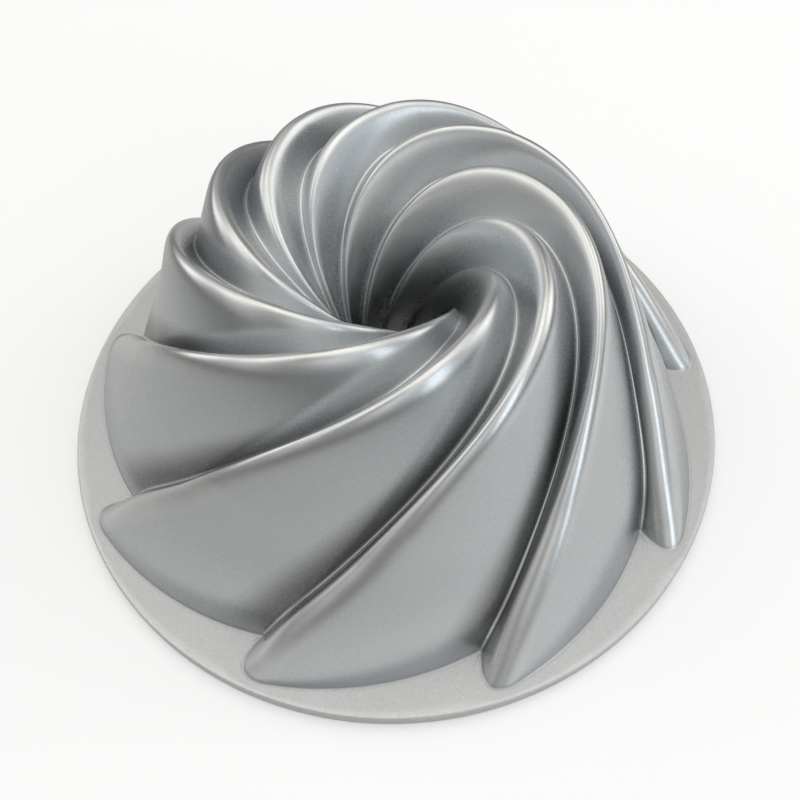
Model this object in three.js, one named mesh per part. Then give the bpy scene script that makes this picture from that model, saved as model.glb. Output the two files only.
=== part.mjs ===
import * as THREE from 'three';

// A swirl bundt pan standing mouth down on its flange: millimetres, +Z up, origin in the middle
// of the flange's resting face. One thin casting makes the flange, the nine twisted blades, the
// crown and the open centre tube; a sprayed nonstick coating lines the side that the cake touches.

const BLADES = 9;
const PITCH = 360 / BLADES;
const FIRST_TIP = 6; // azimuth of one blade's tip on the flange, degrees

const FLANGE_RADIUS = 130;
const FLANGE_THICKNESS = 6;
const FLANGE_EDGE_ROUND = 1.2;

const TUBE_END = 4; // height of the centre tube's open end
const WALL = 3; // thickness of the casting around the cavity
const COAT_GAP = 0.3; // clearance that keeps the two solids apart
const COAT_THICKNESS = 0.5;
const COAT_LIP = 1; // height of the coating's outer edge above the resting face

// Stations [radius, height, turn in degrees] of a blade's ridge line, from its tip on the flange
// up over the crown and down the funnel to the end of the centre tube, and of the valley line,
// which starts at the foot of the next blade's steep back.
const RIDGE_STATIONS = [
  [124, FLANGE_THICKNESS, 0], [109.5, 30, 8], [94.5, 54, 20.5], [80.5, 80, 37], [65.5, 102, 66],
  [45, 105, 106], [28.5, 85, 144], [18.5, 59, 181], [13.5, 31, 213], [12, TUBE_END, 240],
];
const VALLEY_STATIONS = [
  [111, FLANGE_THICKNESS, 40], [104, 25.5, 45.5], [92, 44, 55], [79.5, 66, 69], [65, 86, 91],
  [47.5, 94.5, 122], [30.5, 82, 154], [20.5, 57, 190], [14.5, 31, 229], [12, TUBE_END, 260],
];
const RIDGE_ROUND = 12; // how far the ridge's rounding reaches down either side, outside
const CAVITY_ROUND = 9; // and on the cavity side

const ROWS = 20; // steps along a blade
const BACK_STEPS = 1; // steps across it: the steep back, the rounded ridge and the broad face
const RIDGE_STEPS = 3;
const FACE_STEPS = 3;
const RIM_STEPS = 8; // steps of the flange's edge for each blade

// Points on the blades are held as (radius, height, turn), so that a straight line between two
// of them follows the pan's curve.
function toSpace(p) {
  const angle = THREE.MathUtils.degToRad(p.z + FIRST_TIP);
  return new THREE.Vector3(p.x * Math.cos(angle), p.x * Math.sin(angle), p.y);
}

// The reverse, choosing the turn nearest to the one given.
function fromSpace(point, nearTurn) {
  const turn = THREE.MathUtils.radToDeg(Math.atan2(point.y, point.x)) - FIRST_TIP;
  const laps = Math.round((nearTurn - turn) / 360);
  return new THREE.Vector3(Math.hypot(point.x, point.y), point.z, turn + 360 * laps);
}

const turned = (p, degrees) => p.clone().setZ(p.z + degrees);

function stationCurve(stations) {
  const points = stations.map((station) => new THREE.Vector3(...station));
  return new THREE.CatmullRomCurve3(points, false, 'catmullrom', 0.5);
}

const ridgeCurve = stationCurve(RIDGE_STATIONS);
const valleyCurve = stationCurve(VALLEY_STATIONS);

// The shares of the back's and the face's width that a rounding of the given reach takes up.
function roundedShares(corner, valley, reach) {
  const at = toSpace(corner);
  const share = (foot) => Math.min(0.6, reach / at.distanceTo(toSpace(foot)));
  return [share(turned(valley, -PITCH)), share(valley)];
}

// The sharp corner line that, once rounded, passes through the ridge line.
function cornerOf(ridge, valley) {
  const [back, face] = roundedShares(ridge, valley, RIDGE_ROUND);
  return ridge.clone().addScaledVector(turned(valley, -PITCH), -back / 4)
    .addScaledVector(valley, -face / 4).divideScalar(1 - (back + face) / 4);
}

// The corner and valley lines of the outside, one pair of points for each row.
function outerLines() {
  const lines = [];
  for (let row = 0; row <= ROWS; row += 1) {
    const valley = valleyCurve.getPoint(row / ROWS);
    lines.push({ corner: cornerOf(ridgeCurve.getPoint(row / ROWS), valley), valley });
  }
  return lines;
}

// Moves a point on a fold inward so that it lies the distance away from both faces that meet
// there; the faces are given by one edge vector each and by the fold's own direction.
function insetFold(point, fold, edgeBehind, edgeAhead, distance) {
  const behind = edgeBehind.clone().cross(fold).normalize();
  const ahead = edgeAhead.clone().cross(fold).normalize();
  const reach = distance / (1 + behind.dot(ahead));
  return point.clone().addScaledVector(behind.add(ahead), -reach);
}

// The outside's lines moved inward by a distance. The open mouth ends at the given height, and
// the centre tube ends level with the outside.
function insetLines(lines, distance, mouthHeight) {
  const inset = lines.map(({ corner, valley }, row) => {
    const previous = lines[Math.max(row - 1, 0)];
    const next = lines[Math.min(row + 1, ROWS)];
    const fold = (name) => toSpace(next[name]).sub(toSpace(previous[name]));
    const cornerAt = toSpace(corner);
    const valleyAt = toSpace(valley);
    const valleyBehind = toSpace(turned(valley, -PITCH));
    const cornerAhead = toSpace(turned(corner, PITCH));
    const face = valleyAt.clone().sub(cornerAt);
    const back = cornerAt.clone().sub(valleyBehind);
    const nextBack = cornerAhead.sub(valleyAt);
    return {
      corner: fromSpace(insetFold(cornerAt, fold('corner'), back, face, distance), corner.z),
      valley: fromSpace(insetFold(valleyAt, fold('valley'), face, nextBack, distance), valley.z),
    };
  });
  for (const name of ['corner', 'valley']) {
    const mouth = inset[0][name];
    const slope = mouth.clone().sub(inset[1][name]);
    mouth.addScaledVector(slope, (mouthHeight - mouth.y) / slope.y);
    inset[ROWS][name].setY(lines[ROWS][name].y);
  }
  return inset;
}

// The section across one blade: up the steep back from the valley behind it, round the ridge
// and down the broad face, leaving out the last point, which is the next blade's first.
function bladeSection({ corner, valley }, reach) {
  const behind = turned(valley, -PITCH);
  const [backShare, faceShare] = roundedShares(corner, valley, reach);
  const backEnd = corner.clone().lerp(behind, backShare);
  const faceStart = corner.clone().lerp(valley, faceShare);
  const rounding = new THREE.QuadraticBezierCurve3(backEnd, corner, faceStart);
  const points = [];
  for (let i = 0; i < BACK_STEPS; i += 1) points.push(behind.clone().lerp(backEnd, i / BACK_STEPS));
  for (let i = 0; i < RIDGE_STEPS; i += 1) points.push(rounding.getPoint(i / RIDGE_STEPS));
  for (let i = 0; i < FACE_STEPS; i += 1) points.push(faceStart.clone().lerp(valley, i / FACE_STEPS));
  return points;
}

// Closed rings of points around all the blades, one for each row of the lines.
function bladeRings(lines, reach) {
  return lines.map((row) => {
    const section = bladeSection(row, reach);
    const ring = [];
    for (let blade = 0; blade < BLADES; blade += 1) {
      for (const p of section) ring.push(toSpace(turned(p, blade * PITCH)));
    }
    return ring;
  });
}

// A closed body put together from rings of points; each quad of a band is split in two.
class Body {
  constructor() {
    this.positions = [];
    this.triangles = [];
  }

  addRing(ring) {
    const start = this.positions.length / 3;
    for (const p of ring) this.positions.push(p.x, p.y, p.z);
    return ring.map((_, i) => start + i);
  }

  // Joins two rings of equal length. The faces look out of the metal on the pan's outside, where
  // the rings run up the blades, or on its cavity side. The split follows the blades' slant.
  addBand(low, high, onCavity = false) {
    const count = low.length;
    for (let i = 0; i < count; i += 1) {
      const next = (i + 1) % count;
      const faces = [[low[i], low[next], high[i]], [low[next], high[next], high[i]]];
      for (const face of faces) this.triangles.push(...(onCavity ? face.reverse() : face));
    }
  }

  addSurface(rings, onCavity = false) {
    const indices = rings.map((ring) => this.addRing(ring));
    for (let row = 0; row + 1 < indices.length; row += 1) {
      this.addBand(indices[row], indices[row + 1], onCavity);
    }
    return indices;
  }

  // A flat face between an outer and an inner ring, looking up or down.
  addPlate(outside, inside, up) {
    const flat = (index) => new THREE.Vector2(this.positions[3 * index], this.positions[3 * index + 1]);
    const all = [...outside, ...inside];
    const faces = THREE.ShapeUtils.triangulateShape(outside.map(flat), [inside.map(flat)]);
    for (const face of faces) {
      const [a, b, c] = face.map((i) => all[i]);
      const [p, q, r] = [a, b, c].map(flat);
      const turnsLeft = q.sub(p).cross(r.sub(p)) > 0;
      this.triangles.push(...(turnsLeft === up ? [a, b, c] : [a, c, b]));
    }
  }

  geometry() {
    const geometry = new THREE.BufferGeometry();
    geometry.setAttribute('position', new THREE.Float32BufferAttribute(this.positions, 3));
    geometry.setIndex(this.triangles);
    geometry.computeVertexNormals();
    return geometry;
  }
}

function circle(radius, height) {
  const points = [];
  const count = BLADES * RIM_STEPS;
  for (let i = 0; i < count; i += 1) {
    const angle = (2 * Math.PI * i) / count;
    points.push(new THREE.Vector3(radius * Math.cos(angle), radius * Math.sin(angle), height));
  }
  return points;
}

const outside = outerLines();

function castingGeometry() {
  const body = new Body();
  const skin = body.addSurface(bladeRings(outside, RIDGE_ROUND));
  const cavity = body.addSurface(bladeRings(insetLines(outside, WALL, 0), CAVITY_ROUND), true);
  body.addBand(skin[ROWS], cavity[ROWS]);
  const edge = body.addSurface([
    circle(FLANGE_RADIUS - FLANGE_EDGE_ROUND / 2, 0),
    circle(FLANGE_RADIUS, FLANGE_EDGE_ROUND / 2),
    circle(FLANGE_RADIUS, FLANGE_THICKNESS - FLANGE_EDGE_ROUND),
    circle(FLANGE_RADIUS - FLANGE_EDGE_ROUND, FLANGE_THICKNESS),
  ]);
  body.addPlate(edge[3], skin[0], true);
  body.addPlate(edge[0], cavity[0], false);
  return body.geometry();
}

function coatingGeometry() {
  const back = insetLines(outside, WALL + COAT_GAP, COAT_LIP);
  const front = insetLines(outside, WALL + COAT_GAP + COAT_THICKNESS, COAT_LIP);
  const body = new Body();
  const backRings = body.addSurface(bladeRings(back, CAVITY_ROUND));
  const frontRings = body.addSurface(bladeRings(front, CAVITY_ROUND), true);
  body.addBand(backRings[ROWS], frontRings[ROWS]);
  body.addBand(frontRings[0], backRings[0]);
  return body.geometry();
}

const castAluminium = new THREE.MeshStandardMaterial({ color: 0xaeb1b3, roughness: 0.38, metalness: 0.9 });
const nonstick = new THREE.MeshStandardMaterial({ color: 0x3a3b3d, roughness: 0.5, metalness: 0.1 });

function namedMesh(name, geometry, material) {
  const mesh = new THREE.Mesh(geometry, material);
  mesh.name = name;
  return mesh;
}

const pan = new THREE.Group();
pan.add(namedMesh('pan_casting', castingGeometry(), castAluminium));
pan.add(namedMesh('nonstick_coating', coatingGeometry(), nonstick));

export default pan;
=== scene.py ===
"""A swirl bundt pan in cast aluminium, standing mouth down, with its nonstick lining."""

import math

import bpy
import numpy as np
from mathutils import Matrix, Vector


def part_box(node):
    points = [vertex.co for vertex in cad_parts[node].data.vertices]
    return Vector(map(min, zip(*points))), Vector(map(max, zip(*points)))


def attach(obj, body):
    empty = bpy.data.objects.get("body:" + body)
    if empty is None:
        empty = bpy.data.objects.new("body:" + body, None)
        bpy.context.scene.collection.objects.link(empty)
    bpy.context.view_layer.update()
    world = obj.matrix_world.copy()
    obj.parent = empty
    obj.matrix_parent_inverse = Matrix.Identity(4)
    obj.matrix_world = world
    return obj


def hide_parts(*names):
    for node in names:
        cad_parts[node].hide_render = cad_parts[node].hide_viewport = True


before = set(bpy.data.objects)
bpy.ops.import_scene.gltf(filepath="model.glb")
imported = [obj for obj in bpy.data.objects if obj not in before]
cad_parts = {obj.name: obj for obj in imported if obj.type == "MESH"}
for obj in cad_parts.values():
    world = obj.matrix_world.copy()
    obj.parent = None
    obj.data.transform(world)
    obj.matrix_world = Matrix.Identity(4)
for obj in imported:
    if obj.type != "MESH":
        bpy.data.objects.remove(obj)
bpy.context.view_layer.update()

MM = 0.001
BLADES = 9
PITCH = 360 / BLADES
FIRST_TIP = 6  # azimuth of one blade's tip on the flange, degrees

# The flange's radius comes from the frame; the rest are the design's own sizes, in millimetres.
low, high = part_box("pan_casting")
FLANGE_RADIUS = (high[0] - low[0]) / 2 / MM
FLANGE_THICKNESS = 6
EDGE_ROUND = 1.2
BASE_FILLET = 0.9
MOUTH_ROUND = 1.0
WALL = 3
COAT_GAP = 0.04
COAT_THICKNESS = 0.35
COAT_LIP = 1.2
TUBE_ROUND = WALL / 2
TUBE_END = 4 + TUBE_ROUND

# Stations (radius, height, turn in degrees) of a blade's ridge line and of the valley ahead of it.
RIDGE_STATIONS = [
    (124, FLANGE_THICKNESS, 0), (109.5, 30, 8), (94.5, 54, 20.5), (80.5, 80, 37), (65.5, 102, 66),
    (45, 105, 106), (28.5, 85, 144), (18.5, 59, 181), (13.5, 31, 213), (12, TUBE_END, 240),
]
VALLEY_STATIONS = [
    (111, FLANGE_THICKNESS, 40), (104, 25.5, 45.5), (92, 44, 55), (79.5, 66, 69), (65, 86, 91),
    (47.5, 94.5, 122), (30.5, 82, 154), (20.5, 57, 190), (14.5, 31, 229), (12, TUBE_END, 260),
]
# How far each fold's rounding reaches, down a blade's steep back and down its face, and the most
# of each side that a ridge or a valley may take.
RIDGE_REACH = (12, 13)
RIDGE_MOST = (0.8, 0.5)
VALLEY_REACH = (1.6, 1.6)
VALLEY_MOST = (0.2, 0.3)
CAVITY_RIDGE_REACH = (9, 9.5)
CAVITY_VALLEY_REACH = (5.5, 5.5)
# Columns of a blade's skin: valley, steep back, ridge, face. Rows run from the foot to the tube.
SKIN_STEPS = (4, 5, 12, 16)
COAT_STEPS = (3, 4, 10, 12)
SKIN_ROWS, COAT_ROWS = 261, 181
FOOT_ROWS = 40  # enough of them to reach past the foot's fillet
FILLET_STEPS, EDGE_STEPS, SMALL_EDGE_STEPS, TUBE_END_STEPS = 6, 6, 4, 8
FLANGE_RINGS = (0.97, 0.8, 0.6, 0.4, 0.2, 0.05)  # shares of the way out to its edge
UNDER_RINGS = (0.04, 0.35, 0.7, 0.96)

# Where the painted shade beside a valley rises and falls: across the face, and along a blade.
CREASE_ON_FACE = (0.66, 0.96)
CREASE_RISES = (-0.05, 0.1)
CREASE_FALLS = (0.32, 0.58)
CREASE_ON_BACK = 0.7
# How strong the painted highlight along a valley's line and the lightening of the flange's top edge
# are, against a ridge's crest (wear and painted highlight), and how strong the painted shade on the
# foot's fillet and the flange's side is.
VALLEY_HIGHLIGHT, EDGE_LIGHTENING = 0.8, 0.7
FILLET_SHADE, SIDE_SHADE = 0.6, 1


# ---- lines and surfaces, as arrays of (radius, height, turn) ----

def smooth_line(stations, at):
    """A curve with continuous curvature past the stations, at shares 0 to 1 of its length."""
    points = np.array(stations, float)
    count = len(points)
    inner = points[1:-1] - (points[:-2] - 2 * points[1:-1] + points[2:]) / 6
    controls = np.vstack([points[0], inner, points[-1]])
    controls = np.vstack([2 * controls[0] - controls[1], controls, 2 * controls[-1] - controls[-2]])
    place = np.clip(at, 0, 1) * (count - 1)
    first = np.minimum(place.astype(int), count - 2)
    t = (place - first)[..., None]
    weights = [(1 - t) ** 3, 3 * t**3 - 6 * t**2 + 4, -3 * t**3 + 3 * t**2 + 3 * t + 1, t**3]
    return sum(w * controls[first + k] for k, w in enumerate(weights)) / 6


def turned(points, degrees):
    return points + np.array([0, 0, degrees])


def to_space(points):
    angle = np.radians(points[..., 2] + FIRST_TIP)
    radius = points[..., 0]
    return np.stack([radius * np.cos(angle), radius * np.sin(angle), points[..., 1]], -1)


def from_space(points, near_turn):
    turn = np.degrees(np.arctan2(points[..., 1], points[..., 0])) - FIRST_TIP
    turn += 360 * np.round((near_turn - turn) / 360)
    return np.stack([np.hypot(points[..., 0], points[..., 1]), points[..., 2], turn], -1)


def share(fold, foot, reach, most):
    distance = np.linalg.norm(to_space(fold) - to_space(foot), axis=-1)
    return np.minimum(most, reach / distance)[..., None]


def corner_line(ridge, valley):
    """The sharp corner that, once rounded, passes through the ridge line."""
    behind = turned(valley, -PITCH)
    back = share(ridge, behind, RIDGE_REACH[0], RIDGE_MOST[0])
    face = share(ridge, valley, RIDGE_REACH[1], RIDGE_MOST[1])
    return (ridge - (back * behind + face * valley) / 4) / (1 - (back + face) / 4)


def outside_lines(at):
    valley = smooth_line(VALLEY_STATIONS, at)
    return corner_line(smooth_line(RIDGE_STATIONS, at), valley), valley


def unit(vectors):
    return vectors / np.linalg.norm(vectors, axis=-1, keepdims=True)


def inset_fold(points, edge_behind, edge_ahead, distance):
    fold = np.gradient(points, axis=0)
    behind = unit(np.cross(edge_behind, fold))
    ahead = unit(np.cross(edge_ahead, fold))
    facing = (behind * ahead).sum(-1, keepdims=True)
    return points - (behind + ahead) * distance / (1 + facing)


def inset_lines(lines, distance, mouth_height):
    """The lines moved into the metal, with the mouth at a height and the tube's end kept level."""
    corner, valley = lines
    corner_at, valley_at = to_space(corner), to_space(valley)
    back = corner_at - to_space(turned(valley, -PITCH))
    face = valley_at - corner_at
    next_back = to_space(turned(corner, PITCH)) - valley_at
    moved = []
    for line, at, edges in ((corner, corner_at, (back, face)), (valley, valley_at, (face, next_back))):
        inset = from_space(inset_fold(at, *edges, distance), line[:, 2])
        slope = inset[0] - inset[3]
        # The first row moves to the mouth, and the next two are spaced evenly behind it.
        inset[0] += slope * (mouth_height - inset[0, 1]) / slope[1]
        inset[1:3] = inset[0] + (inset[3] - inset[0]) * np.array([[1 / 3], [2 / 3]])
        inset[-1, 1] = line[-1, 1]
        moved.append(inset)
    return moved


def bezier(a, b, c, t):
    return (1 - t) ** 2 * a + 2 * t * (1 - t) * b + t**2 * c


def across(corner, valley, ridge_reach, valley_reach, steps):
    """One blade's surface: valley rounding, steep back, rounded ridge, face, valley rounding.
    corner and valley have one row per row of the surface, and one column or one per column."""
    behind, corner_behind = turned(valley, -PITCH), turned(corner, -PITCH)
    corner_ahead = turned(corner, PITCH)
    back_end = corner + (behind - corner) * share(corner, behind, ridge_reach[0], RIDGE_MOST[0])
    face_start = corner + (valley - corner) * share(corner, valley, ridge_reach[1], RIDGE_MOST[1])
    foot_back = share(corner, behind, valley_reach[0], VALLEY_MOST[0])
    foot_face = share(corner, valley, valley_reach[1], VALLEY_MOST[1])
    back_start = behind + (corner - behind) * foot_back
    face_end = valley + (corner - valley) * foot_face
    face_end_behind = behind + (corner_behind - behind) * foot_face
    back_start_ahead = valley + (corner_ahead - valley) * foot_back
    sides = [
        (lambda p, t: bezier(*p, 0.5 + t / 2), (face_end_behind, behind, back_start)),
        (lambda p, t: p[0] + (p[1] - p[0]) * t, (back_start, back_end)),
        (lambda p, t: bezier(*p, t), (back_end, corner, face_start)),
        (lambda p, t: p[0] + (p[1] - p[0]) * t, (face_start, face_end)),
        (lambda p, t: bezier(*p, t / 2), (face_end, valley, back_start_ahead)),
    ]
    surface, start = [], 0
    for count, (blend, ends) in zip((*steps, steps[0]), sides):
        t = (np.arange(count) / count)[None, :, None]
        if ends[0].shape[1] > 1:
            ends = [e[:, start:start + count] for e in ends]
        surface.append(blend(ends, t))
        start += count
    return np.concatenate(surface, axis=1)


def smooth_rise(values, start, end):
    """0 up to start, 1 from end on, and a smooth rise between them."""
    t = np.clip((values - start) / (end - start), 0, 1)
    return t * t * (3 - 2 * t)


def fold_marks(steps):
    """Per column, from 0 to 1: on the ridge's crest, in the valley's bottom, along the last part of the
    face before the valley, and along the foot of the steep back. The crest carries wear and painted
    highlight, the valley's bottom painted highlight, the last two painted shade."""
    shares = [np.arange(count) / count for count in (*steps, steps[0])]
    behind, back, ridge, face, ahead = shares
    crest = [0 * behind, 0 * back, np.sin(np.pi * ridge), 0 * face, 0 * ahead]
    bottom = [1 - behind, 0 * back, 0 * ridge, 0 * face, ahead]
    on_face = [0 * behind, 0 * back, 0 * ridge, smooth_rise(face, *CREASE_ON_FACE), 1 - ahead]
    on_back = [behind, 1 - back, 0 * ridge, 0 * face, 0 * ahead]
    return [np.tile(np.concatenate(mark), BLADES) for mark in (crest, bottom, on_face, on_back)]


def folded(lines, ridge_reach, valley_reach, steps):
    """Rings of x, y, z points round the whole pan, from one blade's corner and valley lines."""
    corner, valley = lines
    blade = across(corner[:, None], valley[:, None], ridge_reach, valley_reach, steps)
    return np.concatenate([to_space(turned(blade, k * PITCH)) for k in range(BLADES)], axis=1)


# ---- meshes ----

def closed_rings(name, rings, material, marks=None):
    """A closed body from rings of points, each joined to the next and the last to the first."""
    rows, count = rings.shape[:2]
    index = np.arange(rows * count).reshape(rows, count)
    above, beside = np.roll(index, -1, axis=0), np.roll(index, -1, axis=1)
    both = np.roll(above, -1, axis=1)
    quads = np.stack([index, beside, both, above], -1).reshape(-1, 4)
    points = rings.reshape(-1, 3) * MM
    a, b, c = (points[quads[:, k]] for k in range(3))
    d = points[quads[:, 3]]
    volume = (np.cross(b, c) * a).sum() + (np.cross(c, d) * a).sum()
    if volume < 0:
        quads = quads[:, ::-1]
    mesh = bpy.data.meshes.new(name)
    mesh.from_pydata(points.tolist(), [], quads.tolist())
    mesh.polygons.foreach_set("use_smooth", np.ones(len(quads), bool))
    for mark, values in (marks or {}).items():
        layer = mesh.attributes.new(mark, "FLOAT", "POINT")
        layer.data.foreach_set("value", values.astype(np.float32).ravel())
    mesh.materials.append(material)
    mesh.update()
    piece = bpy.data.objects.new(name, mesh)
    bpy.context.scene.collection.objects.link(piece)
    return piece


def ring_normals(ring):
    """Level normals of a closed ring, pointing away from the axis, eased over sharp corners."""
    along = np.roll(ring, -1, axis=0) - np.roll(ring, 1, axis=0)
    normal = unit(np.stack([along[:, 1], -along[:, 0], 0 * along[:, 0]], -1))
    for _ in range(3):
        normal = unit(np.roll(normal, 1, axis=0) + 2 * normal + np.roll(normal, -1, axis=0))
    return normal


def shifted_rings(rings, distance):
    """Rings whose rows begin a distance up the surface from the first ring."""
    steps = np.linalg.norm(np.diff(rings[:FOOT_ROWS], axis=0), axis=-1)
    travelled = np.vstack([np.zeros(steps.shape[1]), np.cumsum(steps, axis=0)])
    starts = np.array([np.interp(distance, gone, np.arange(FOOT_ROWS)) for gone in travelled.T])
    rows = len(rings)
    place = starts + (rows - 1 - starts) * (np.arange(rows) / (rows - 1))[:, None]
    first = np.minimum(place.astype(int), rows - 2)
    part = (place - first)[..., None]
    column = np.arange(rings.shape[1])
    return rings[first, column] * (1 - part) + rings[first + 1, column] * part


def rounded_edge(start, edge, end, count):
    """Rings that leave a surface at start and join another at end, round an edge between them."""
    return [bezier(start, edge, end, t) for t in np.linspace(0, 1, count + 1)]


def arc_shares(ring):
    """How far round each point of a ring lies, as a share of the whole way round."""
    steps = np.linalg.norm(np.roll(ring, -1, axis=0) - ring, axis=-1)
    travelled = np.concatenate([[0], np.cumsum(steps)[:-1]])
    return travelled / steps.sum()


def circle_for(ring, tip_column):
    """Angles on the flange's edge for the points of a blade outline, tips opposite tips."""
    shares = arc_shares(ring)
    angle = 2 * np.pi * (shares - shares[tip_column]) + np.radians(FIRST_TIP)
    return np.stack([np.cos(angle), np.sin(angle), 0 * angle], -1)


def at_height(points, height):
    out = points.copy()
    out[..., 2] = height
    return out


def make_casting(material):
    lines = outside_lines(np.linspace(0, 1, SKIN_ROWS))
    inner_lines = inset_lines(lines, WALL, 0)
    skin = folded(lines, RIDGE_REACH, VALLEY_REACH, SKIN_STEPS)
    cavity = folded(inner_lines, CAVITY_RIDGE_REACH, CAVITY_VALLEY_REACH, SKIN_STEPS)

    # The foot of the blades, where a fillet runs out onto the flange.
    foot = skin[0]
    away = ring_normals(foot)
    wall = shifted_rings(skin, BASE_FILLET)
    fillet = rounded_edge(foot + away * BASE_FILLET, foot, wall[0], FILLET_STEPS)
    flange_start = fillet[0]

    # The flange, out to its rounded edge and back underneath to the mouth.
    tip_column = SKIN_STEPS[0] + SKIN_STEPS[1] + SKIN_STEPS[2] // 2
    out = circle_for(foot, tip_column)
    top_end = at_height(out * (FLANGE_RADIUS - EDGE_ROUND), FLANGE_THICKNESS)
    top = [flange_start + (top_end - flange_start) * t for t in FLANGE_RINGS]
    top_edge = rounded_edge(at_height(out * FLANGE_RADIUS, FLANGE_THICKNESS - EDGE_ROUND),
                            at_height(out * FLANGE_RADIUS, FLANGE_THICKNESS), top_end, EDGE_STEPS)
    low_round = EDGE_ROUND / 2
    low_edge = rounded_edge(at_height(out * (FLANGE_RADIUS - low_round), 0),
                            at_height(out * FLANGE_RADIUS, 0),
                            at_height(out * FLANGE_RADIUS, low_round), SMALL_EDGE_STEPS)
    mouth = cavity[0]
    under_start = mouth + ring_normals(mouth) * MOUTH_ROUND
    inner_wall = shifted_rings(cavity, MOUTH_ROUND)
    mouth_edge = rounded_edge(inner_wall[0], mouth, under_start, SMALL_EDGE_STEPS)
    under = [under_start + (low_edge[0] - under_start) * t for t in UNDER_RINGS]

    # The tube's end, rounded over from the outside to the cavity side.
    tube_end = []
    for t in np.linspace(0, np.pi, TUBE_END_STEPS + 1)[1:-1]:
        across_wall = (1 - math.cos(t)) / 2
        ring = skin[-1] * (1 - across_wall) + cavity[-1] * across_wall
        ring[:, 2] -= TUBE_ROUND * math.sin(t)
        tube_end.append(ring)

    rings = [
        *wall[::-1][:-1], *fillet[::-1], *top[::-1], *top_edge[::-1], *low_edge[::-1],
        *under[::-1], *mouth_edge[::-1], *inner_wall[1:-1], cavity[-1], *tube_end[::-1],
    ]
    wall_rows = len(wall) - 1
    fillet_rows = len(fillet)
    first_edge = wall_rows + fillet_rows + len(top)
    first_side = first_edge + len(top_edge) - 2
    last_side = first_edge + len(top_edge) + len(low_edge)
    sand, wear_and_highlight, shade_and_dull, crease_shade = np.zeros((4, len(rings), len(foot)))
    crest, bottom, on_face, on_back = fold_marks(SKIN_STEPS)
    along = np.linspace(1, 0, wall_rows)
    rise, fall = smooth_rise(along, *CREASE_RISES), smooth_rise(along, *CREASE_FALLS)
    sand[wall_rows + fillet_rows // 2:last_side] = 1
    # Lighter colour on the crests (wear and painted highlight), along the valleys' lines (painted
    # highlight) and on the flange's top edge.
    wear_and_highlight[:wall_rows] = crest + bottom * VALLEY_HIGHLIGHT
    wear_and_highlight[first_edge - 1:first_edge + 2] = EDGE_LIGHTENING
    # Painted shade on the foot's fillet and on the flange's side, with slightly rougher metal.
    shade_and_dull[wall_rows:wall_rows + fillet_rows] = FILLET_SHADE
    shade_and_dull[first_side:last_side] = SIDE_SHADE
    # Painted shade beside each valley: over the last part of the face and the foot of the steep back.
    crease_shade[:wall_rows] = np.outer(rise - fall, on_face) + np.outer(1 - fall, on_back) * CREASE_ON_BACK
    marks = {"sand": sand, "wear_and_highlight": wear_and_highlight, "shade_and_dull": shade_and_dull, "crease_shade": crease_shade}
    return closed_rings("pan_casting_body", np.array(rings), material, marks)


def make_coating(material):
    lines = outside_lines(np.linspace(0, 1, COAT_ROWS))
    back, front = (
        folded(inset_lines(lines, depth, COAT_LIP), CAVITY_RIDGE_REACH, CAVITY_VALLEY_REACH, COAT_STEPS)
        for depth in (WALL + COAT_GAP, WALL + COAT_GAP + COAT_THICKNESS)
    )
    return closed_rings("nonstick_lining", np.concatenate([back, front[::-1]]), material)


# ---- materials ----

def node_material(name):
    material = bpy.data.materials.new(name)
    material.use_nodes = True
    nodes, links = material.node_tree.nodes, material.node_tree.links
    shader = next(n for n in nodes if n.type == "BSDF_PRINCIPLED")
    return material, nodes, links, shader


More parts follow.
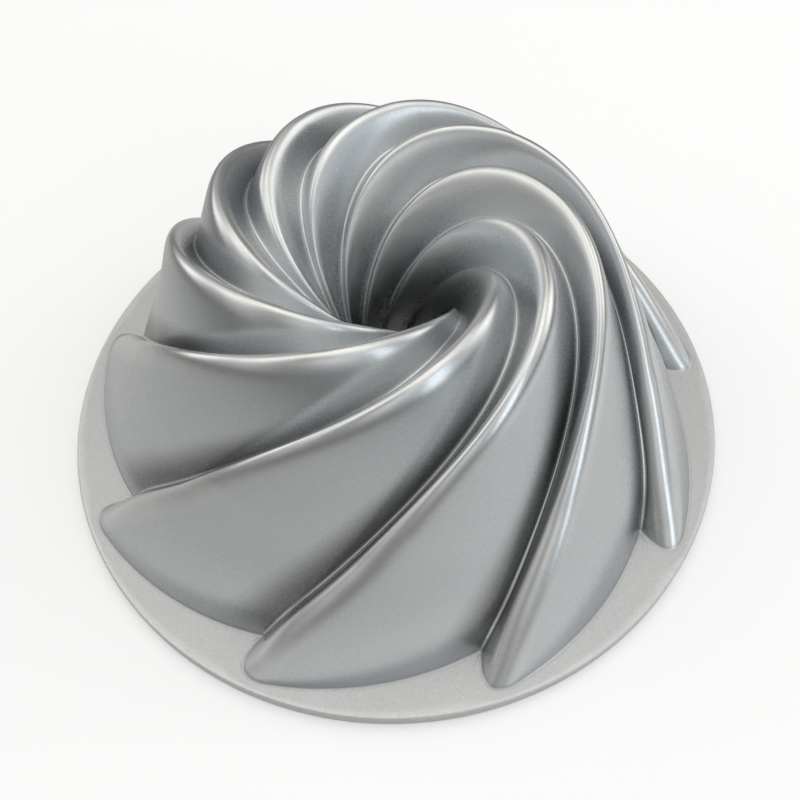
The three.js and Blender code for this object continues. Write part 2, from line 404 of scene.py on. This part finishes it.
class Finish:
    """A metal or coating under construction: small helpers round its node tree."""

    def __init__(self, name):
        self.material, self.nodes, self.links, self.shader = node_material(name)
        self.place = self.nodes.new("ShaderNodeTexCoord").outputs["Object"]

    def noise(self, scale, detail=2.0):
        node = self.nodes.new("ShaderNodeTexNoise")
        node.inputs["Scale"].default_value = scale
        node.inputs["Detail"].default_value = detail
        self.links.new(self.place, node.inputs["Vector"])
        return node.outputs["Fac"]

    def cells(self, scale):
        """A random value from 0 to 1 for each small cell, as flakes in paint have."""
        node = self.nodes.new("ShaderNodeTexVoronoi")
        node.inputs["Scale"].default_value = scale
        self.links.new(self.place, node.inputs["Vector"])
        split = self.nodes.new("ShaderNodeSeparateColor")
        self.links.new(node.outputs["Color"], split.inputs["Color"])
        return split.outputs["Red"]

    def mark(self, name):
        node = self.nodes.new("ShaderNodeAttribute")
        node.attribute_name = name
        return node.outputs["Fac"]

    def ramp(self, source, low, high, new_low, new_high):
        """The source's stretch from low to high, carried over to new_low to new_high."""
        node = self.nodes.new("ShaderNodeMapRange")
        self.links.new(source, node.inputs["Value"])
        sockets = ("From Min", "From Max", "To Min", "To Max")
        for name, value in zip(sockets, (low, high, new_low, new_high)):
            node.inputs[name].default_value = value
        return node.outputs["Result"]

    def sums(self, operation, first, second):
        node = self.nodes.new("ShaderNodeMath")
        node.operation = operation
        for socket, value in zip(node.inputs, (first, second)):
            if isinstance(value, (int, float)):
                socket.default_value = value
            else:
                self.links.new(value, socket)
        return node.outputs["Value"]

    def mixed(self, factor, first, second):
        """One colour over another, each a plain colour or another node's output."""
        node = self.nodes.new("ShaderNodeMix")
        node.data_type = "RGBA"
        self.links.new(factor, node.inputs["Factor"])
        colours = [socket for socket in node.inputs if socket.type == "RGBA"]
        for socket, value in zip(colours, (first, second)):
            if isinstance(value, tuple):
                socket.default_value = (*value, 1)
            else:
                self.links.new(value, socket)
        return next(socket for socket in node.outputs if socket.type == "RGBA")

    def bump(self, height, strength, distance, under=None):
        node = self.nodes.new("ShaderNodeBump")
        node.inputs["Distance"].default_value = distance
        if isinstance(strength, float):
            node.inputs["Strength"].default_value = strength
        else:
            self.links.new(strength, node.inputs["Strength"])
        self.links.new(height, node.inputs["Height"])
        if under:
            self.links.new(under, node.inputs["Normal"])
        return node.outputs["Normal"]

    def feed(self, **sockets):
        for name, source in sockets.items():
            self.links.new(source, self.shader.inputs[name.replace("_", " ")])


BODY_METAL = (0.53, 0.55, 0.57), (0.555, 0.572, 0.588)
FLANGE_METAL = (0.575, 0.58, 0.592)
# The lighter colour of worn crests with their painted highlight, of the valleys' painted highlight
# lines and of the flange's top edge.
WORN_AND_HIGHLIGHT_METAL = (0.8, 0.79, 0.775)
# The colour of the painted shade on the foot's fillet and the flange's side.
SHADE_METAL = (0.36, 0.355, 0.345)
# The colour of the painted shade beside the valleys.
CREASE_SHADE_METAL = (0.1, 0.098, 0.096)
FLAKE, PIT = (0.82, 0.82, 0.81), (0.3, 0.3, 0.3)


def cast_metal():
    """Satin silver over cast aluminium: sandy on the flange, lighter on the crests from wear and a
    painted highlight, a painted highlight along the valleys' thin lines, and painted shade beside them,
    on the foot's fillet and on the flange's side."""
    finish = Finish("cast_aluminium")
    finish.shader.inputs["Metallic"].default_value = 1.0
    sand, wear_and_highlight, shade_and_dull, crease_shade = (finish.mark(name) for name in ("sand", "wear_and_highlight", "shade_and_dull", "crease_shade"))
    cloud = finish.noise(26, 3.0)
    grain = finish.noise(820, 2.0)
    fine = finish.noise(2300, 1.0)
    flakes = finish.cells(2100)

    patchy = finish.ramp(finish.noise(90, 4.0), 0.35, 0.65, 0.6, 1)
    patchy_wear_and_highlight = finish.sums("MULTIPLY", wear_and_highlight, patchy)
    body = finish.mixed(finish.ramp(cloud, 0.3, 0.7, 0, 1), *BODY_METAL)
    colour = finish.mixed(sand, body, FLANGE_METAL)
    # Partly wear, partly painted highlight: lighter crests, painted highlight lines in the valleys, a
    # lighter flange top edge.
    colour = finish.mixed(finish.sums("MULTIPLY", patchy_wear_and_highlight, 0.6), colour, WORN_AND_HIGHLIGHT_METAL)
    # Painted shade: the foot's fillet and the flange's side are darkened.
    colour = finish.mixed(finish.sums("MULTIPLY", shade_and_dull, 0.35), colour, SHADE_METAL)
    # Painted shade: the colour is darkened beside each valley.
    colour = finish.mixed(finish.sums("MULTIPLY", crease_shade, 0.85), colour, CREASE_SHADE_METAL)
    bright = finish.ramp(flakes, 0.8, 1, 0, 1)
    sparkle = finish.sums("MULTIPLY", bright, finish.ramp(sand, 0, 1, 0.1, 0.2))
    colour = finish.mixed(sparkle, colour, FLAKE)
    dim = finish.ramp(flakes, 0.2, 0, 0, 1)
    pit = finish.sums("MULTIPLY", dim, finish.ramp(sand, 0, 1, 0.06, 0.18))
    colour = finish.mixed(pit, colour, PIT)

    rough = finish.ramp(sand, 0, 1, 0.28, 0.55)
    rough = finish.sums("ADD", rough, finish.ramp(grain, 0.25, 0.75, -0.02, 0.02))
    rough = finish.sums("ADD", rough, finish.ramp(cloud, 0.3, 0.7, -0.02, 0.02))
    rough = finish.sums("SUBTRACT", rough, finish.sums("MULTIPLY", patchy_wear_and_highlight, 0.05))
    rough = finish.sums("ADD", rough, finish.sums("MULTIPLY", shade_and_dull, 0.04))

    relief = finish.bump(grain, finish.ramp(sand, 0, 1, 0.04, 0.3), 0.0002)
    relief = finish.bump(fine, finish.ramp(sand, 0, 1, 0.03, 0.15), 0.0001, relief)
    finish.feed(Base_Color=colour, Roughness=rough, Normal=relief)
    return finish.material


LINING = (0.03, 0.03, 0.031), (0.046, 0.046, 0.047)
MINERAL_SPECK = (0.3, 0.3, 0.29)


def nonstick():
    """Dark nonstick coating with fine mineral specks and an eggshell surface."""
    finish = Finish("nonstick_lining")
    cloud = finish.noise(40, 3.0)
    grain = finish.noise(900, 2.0)
    flakes = finish.cells(900)
    colour = finish.mixed(finish.ramp(cloud, 0.3, 0.7, 0, 1), *LINING)
    speck = finish.ramp(flakes, 0.95, 1, 0, 0.8)
    colour = finish.mixed(speck, colour, MINERAL_SPECK)
    rough = finish.ramp(grain, 0.25, 0.75, 0.36, 0.46)
    rough = finish.sums("ADD", rough, finish.ramp(cloud, 0.3, 0.7, -0.03, 0.03))
    relief = finish.bump(grain, 0.25, 0.0002)
    finish.feed(Base_Color=colour, Roughness=rough, Normal=relief)
    return finish.material


# ---- studio ----

def area_light(name, location, target, size, power, colour):
    lamp = bpy.data.lights.new(name, "AREA")
    lamp.shape = "RECTANGLE"
    lamp.size, lamp.size_y = size
    lamp.energy = power
    lamp.color = colour
    light = bpy.data.objects.new(name, lamp)
    light.location = location
    light.rotation_euler = (Vector(target) - Vector(location)).to_track_quat("-Z", "Y").to_euler()
    light.visible_camera = False
    bpy.context.scene.collection.objects.link(light)


def stage_piece(name, points, faces, material, height):
    mesh = bpy.data.meshes.new(name)
    mesh.from_pydata(points, [], faces)
    mesh.polygons.foreach_set("use_smooth", np.ones(len(faces), bool))
    mesh.materials.append(material)
    piece = bpy.data.objects.new(name, mesh)
    piece.location.z = height
    bpy.context.scene.collection.objects.link(piece)
    return piece


# The sheet that the metal mirrors carries a painted pool of light beside the pan, on its right, fading
# to painted shade further off.
SHEET_CENTRE = (0.06, -0.05, 0)
# The paint goes from the painted pool of light to the painted shade.
SHEET_PAINTED_LIGHT, SHEET_PAINTED_SHADE = 1, 0.2  # the paint's brightness
SHEET_FADES = (0.05, 0.5)  # over these distances from its centre
SHEET_SIZE = 6
SHEET_BELOW, FLOOR_BELOW = 0.0006, 0.0002  # how far each lies under the pan
MATT = 0.9  # both pieces' roughness


def make_painted_sheet():
    material, nodes, links, shader = node_material("painted_light_sheet")
    shader.inputs["Roughness"].default_value = MATT
    away = nodes.new("ShaderNodeVectorMath")
    away.operation = "DISTANCE"
    away.inputs[1].default_value = SHEET_CENTRE
    links.new(nodes.new("ShaderNodeTexCoord").outputs["Object"], away.inputs[0])
    # Painted light and shade on the sheet, fading with the distance from its centre.
    paint = nodes.new("ShaderNodeMapRange")
    paint.inputs["From Min"].default_value, paint.inputs["From Max"].default_value = SHEET_FADES
    paint.inputs["To Min"].default_value = SHEET_PAINTED_LIGHT
    paint.inputs["To Max"].default_value = SHEET_PAINTED_SHADE
    links.new(away.outputs["Value"], paint.inputs["Value"])
    links.new(paint.outputs["Result"], shader.inputs["Base Color"])
    half = SHEET_SIZE / 2
    points = [(-half, -half, 0), (half, -half, 0), (half, half, 0), (-half, half, 0)]
    return stage_piece("painted_light_sheet", points, [(0, 1, 2, 3)], material, -SHEET_BELOW)


# The white cove that the camera sees: a flat floor that curves up into a round wall.
COVE_FLAT, COVE_ROUND, COVE_TOP = 2.2, 1.2, 5
COVE_SIDES, COVE_BENDS = 96, 16
COVE_WHITE = (0.95, 0.945, 0.97, 1)
FLOOR_GLOW, WALL_GLOW = 0.1, 0.6


def white_cove():
    material, nodes, links, shader = node_material("studio_floor")
    shader.inputs["Base Color"].default_value = COVE_WHITE
    shader.inputs["Roughness"].default_value = MATT
    shader.inputs["Specular IOR Level"].default_value = 0
    shader.inputs["Emission Color"].default_value = (1, 1, 1, 1)
    split = nodes.new("ShaderNodeSeparateXYZ")
    links.new(nodes.new("ShaderNodeTexCoord").outputs["Object"], split.inputs["Vector"])
    glow = nodes.new("ShaderNodeMapRange")
    glow.interpolation_type = "SMOOTHSTEP"
    glow.inputs["From Max"].default_value = COVE_ROUND
    glow.inputs["To Min"].default_value = FLOOR_GLOW
    glow.inputs["To Max"].default_value = WALL_GLOW
    links.new(split.outputs["Z"], glow.inputs["Value"])
    links.new(glow.outputs["Result"], shader.inputs["Emission Strength"])

    bend = np.linspace(0, np.pi / 2, COVE_BENDS + 1)
    radii = [*(COVE_FLAT + COVE_ROUND * np.sin(bend)), COVE_FLAT + COVE_ROUND]
    heights = [*(COVE_ROUND * (1 - np.cos(bend))), COVE_TOP]
    turn = np.arange(COVE_SIDES) * 2 * np.pi / COVE_SIDES
    points = [(r * math.cos(t), r * math.sin(t), z) for r, z in zip(radii, heights) for t in turn]
    faces = [tuple(range(COVE_SIDES))]
    for ring in range(len(radii) - 1):
        for i in range(COVE_SIDES):
            a, b = ring * COVE_SIDES + i, ring * COVE_SIDES + (i + 1) % COVE_SIDES
            faces.append((a, a + COVE_SIDES, b + COVE_SIDES, b))
    return stage_piece("studio_floor", points, faces, material, -FLOOR_BELOW)


def make_floor():
    """A white cove for the camera, over a sheet with painted light and shade that only the pan's
    reflections see.
    """
    cove = white_cove()
    cove.visible_glossy = False
    cove.visible_diffuse = False
    cove.visible_shadow = False
    make_painted_sheet().visible_camera = False


def toward(azimuth, elevation):
    """A direction: azimuth 0 is the camera's side, 90 is the right-hand side, in degrees."""
    a, e = math.radians(azimuth), math.radians(elevation)
    return Vector((math.sin(a) * math.cos(e), -math.cos(a) * math.cos(e), math.sin(e)))


# The room's own light, as wide soft lamps: azimuth, elevation, how tightly each is gathered, and
# its colour times its strength. What they leave dark has the fill's light only.
ROOM_FILL = (0.23, 0.23, 0.23)
ROOM_LAMPS = {
    "ceiling": (0, 90, 14, (0.8, 0.79, 0.72)),
    "ceiling_right": (60, 60, 14, (0.95, 0.95, 0.95)),
    "ceiling_left": (-85, 50, 12, (1.0, 1.0, 0.94)),
    "ceiling_back": (-150, 60, 10, (0.5, 0.49, 0.45)),
    "left_wall": (-60, 30, 12, (0.3, 0.3, 0.28)),
    "front_wall": (10, 30, 12, (0.6, 0.62, 0.6)),
    "right_wall": (110, 25, 12, (1.1, 1.1, 1.06)),
    "front_right_window": (55, 5, 12, (0.5, 0.56, 0.6)),
    "low_right": (110, 5, 14, (0.6, 0.6, 0.58)),
    "low_back": (-165, 10, 9, (0.2, 0.2, 0.2)),
    "low_left": (-50, 5, 12, (0.15, 0.15, 0.14)),
    "back_left_window": (-115, 10, 14, (1.2, 1.2, 1.16)),
}


def make_world():
    """Each lamp falls off as a power of e with the distance from its direction."""
    world = bpy.data.worlds.new("studio")
    bpy.context.scene.world = world
    world.use_nodes = True
    nodes, links = world.node_tree.nodes, world.node_tree.links
    place = nodes.new("ShaderNodeTexCoord").outputs["Generated"]
    total = None
    for azimuth, elevation, gathered, colour in ROOM_LAMPS.values():
        near = nodes.new("ShaderNodeVectorMath")
        near.operation = "DOT_PRODUCT"
        near.inputs[1].default_value = toward(azimuth, elevation)
        links.new(place, near.inputs[0])
        falloff = nodes.new("ShaderNodeMath")
        falloff.operation = "MULTIPLY_ADD"
        falloff.inputs[1].default_value = gathered
        falloff.inputs[2].default_value = -gathered
        links.new(near.outputs["Value"], falloff.inputs[0])
        power = nodes.new("ShaderNodeMath")
        power.operation = "EXPONENT"
        links.new(falloff.outputs["Value"], power.inputs[0])
        lit = nodes.new("ShaderNodeVectorMath")
        lit.operation = "MULTIPLY_ADD"
        lit.inputs[0].default_value = colour
        links.new(power.outputs["Value"], lit.inputs[1])
        if total:
            links.new(total, lit.inputs[2])
        else:
            lit.inputs[2].default_value = ROOM_FILL
        total = lit.outputs["Vector"]
    links.new(total, nodes["Background"].inputs["Color"])


def softbox(name, direction, distance, size, radiance, colour, target=(0, 0, 0.05)):
    """A soft light seen along a direction from the pan, giving a radiance over its face."""
    power = math.pi * size[0] * size[1] * radiance
    area_light(name, Vector(target) + direction * distance, target, size, power, colour)


WARM, COOL = (1.0, 0.97, 0.92), (0.86, 0.95, 1.0)
PANEL_PLACE = Vector((0.33, -0.1, 0.002))  # low on the floor, to the pan's right


def make_lights():
    softbox("overhead_softbox", toward(150, 66), 1.2, (1.1, 0.8), 0.4, WARM)
    softbox("tall_window", toward(48, 19), 1.0, (0.3, 0.75), 1.0, COOL)
    area_light("floor_panel", PANEL_PLACE, PANEL_PLACE + Vector((0, 0, 1)), (0.22, 0.3), 0.06, COOL)


SENSOR = 36
FOCAL_SHARE = 1.05875  # focal length over the picture's width
ELEVATION = 57.08
DISTANCE = 0.35693
ROLL = -0.25
ASIDE, ALOFT = -0.01163, -0.00047  # the view centre's offset, along the picture's right and up
SHIFT_X = -0.03125


def make_camera():
    camera = bpy.data.cameras.new("camera")
    camera.sensor_width = SENSOR
    camera.lens = FOCAL_SHARE * SENSOR
    camera.shift_x = SHIFT_X
    holder = bpy.data.objects.new("camera", camera)
    e = math.radians(ELEVATION)
    right = Vector((1, 0, 0))
    forward = Vector((0, math.cos(e), -math.sin(e)))
    up = right.cross(forward)
    holder.location = -forward * DISTANCE - right * ASIDE - up * ALOFT
    roll = math.radians(ROLL)
    rolled_right = right * math.cos(roll) + up * math.sin(roll)
    rolled_up = up * math.cos(roll) - right * math.sin(roll)
    turn = Matrix((rolled_right, rolled_up, -forward)).transposed()
    holder.rotation_euler = turn.to_euler()
    camera.clip_start = 0.01
    bpy.context.scene.collection.objects.link(holder)
    bpy.context.scene.camera = holder


make_camera()
make_floor()
make_world()
make_lights()

casting = make_casting(cast_metal())
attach(casting, "root")
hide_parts("pan_casting")

coating = make_coating(nonstick())
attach(coating, "root")
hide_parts("nonstick_coating")

bpy.context.scene.view_settings.view_transform = "Standard"
